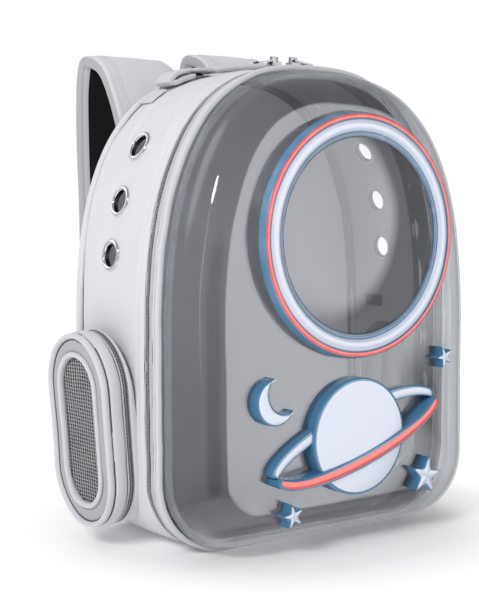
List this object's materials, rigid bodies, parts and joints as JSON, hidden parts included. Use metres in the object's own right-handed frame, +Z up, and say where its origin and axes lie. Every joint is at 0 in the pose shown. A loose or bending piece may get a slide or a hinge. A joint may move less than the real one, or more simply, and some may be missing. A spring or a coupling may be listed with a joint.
{
  "type": "bubble pet carrier backpack",
  "caption": "Backpack for carrying a small pet: stiffened fabric body, domed clear front with a round window, mesh side vents, eyelets, carry handle and padded shoulder straps.",
  "frame": {"origin": "the middle of the flat base, half way between the zipped rim and the back of the back panel", "axes": "+Z up, -Y forwards through the clear front, +Y backwards to the shoulder straps, +X to the wearer's right"},
  "size_m": [0.3978, 0.3222, 0.443],
  "materials": {
    "pale_fabric": "fine woven polyester, light grey",
    "inner_fabric": "soft short pile, grey",
    "zip_tape": "woven tape",
    "zip_coil": "moulded nylon coil",
    "dark_webbing": "woven webbing",
    "clear_plastic": "clear, polished, faintly smoky",
    "netting": "open woven net",
    "bright_metal": "polished",
    "pale_plastic": "satin"
  },
  "bodies": {
    "root": {"back_panel": "pale_fabric", "gusset": "pale_fabric", "front_piping": "pale_fabric", "back_piping": "pale_fabric", "handle_band": "pale_fabric", "handle_grip": "pale_fabric", "vent_collar_left": "pale_fabric", "vent_face_left": "pale_fabric", "vent_trim_left": "pale_fabric", "strap_pad_left": "pale_fabric", "vent_collar_right": "pale_fabric", "vent_face_right": "pale_fabric", "vent_trim_right": "pale_fabric", "strap_pad_right": "pale_fabric", "floor_mat": "inner_fabric", "zip_tape": "zip_tape", "strap_webbing_left": "zip_tape", "strap_webbing_right": "zip_tape", "zip_coil": "zip_coil", "vent_zip_left": "zip_coil", "vent_zip_right": "zip_coil", "inner_binding": "dark_webbing", "webbing_loop": "dark_webbing", "webbing_tab": "dark_webbing", "clear_shell": "clear_plastic", "vent_mesh_left": "netting", "vent_mesh_right": "netting", "eyelet_left_1": "bright_metal", "eyelet_left_2": "bright_metal", "eyelet_left_3": "bright_metal", "eyelet_right_1": "bright_metal", "eyelet_right_2": "bright_metal", "eyelet_right_3": "bright_metal", "zip_slider_left": "bright_metal", "zip_slider_right": "bright_metal", "strap_buckle_left": "pale_plastic", "strap_buckle_right": "pale_plastic"},
    "zip_pull_left": {"zip_pull_left": "bright_metal"},
    "zip_pull_right": {"zip_pull_right": "bright_metal"}
  },
  "joints": [
    {"name": "zip_pull_left_hinge", "type": "hinge", "parent": "root", "child": "zip_pull_left", "pos_m": [-0.0275, -0.0527, 0.42553], "axis": [0, 1, 0], "range_deg": [0, 100]},
    {"name": "zip_pull_right_hinge", "type": "hinge", "parent": "root", "child": "zip_pull_right", "pos_m": [-0.0065, -0.0527, 0.4261], "axis": [0, -1, 0], "range_deg": [0, 100]}
  ]
}
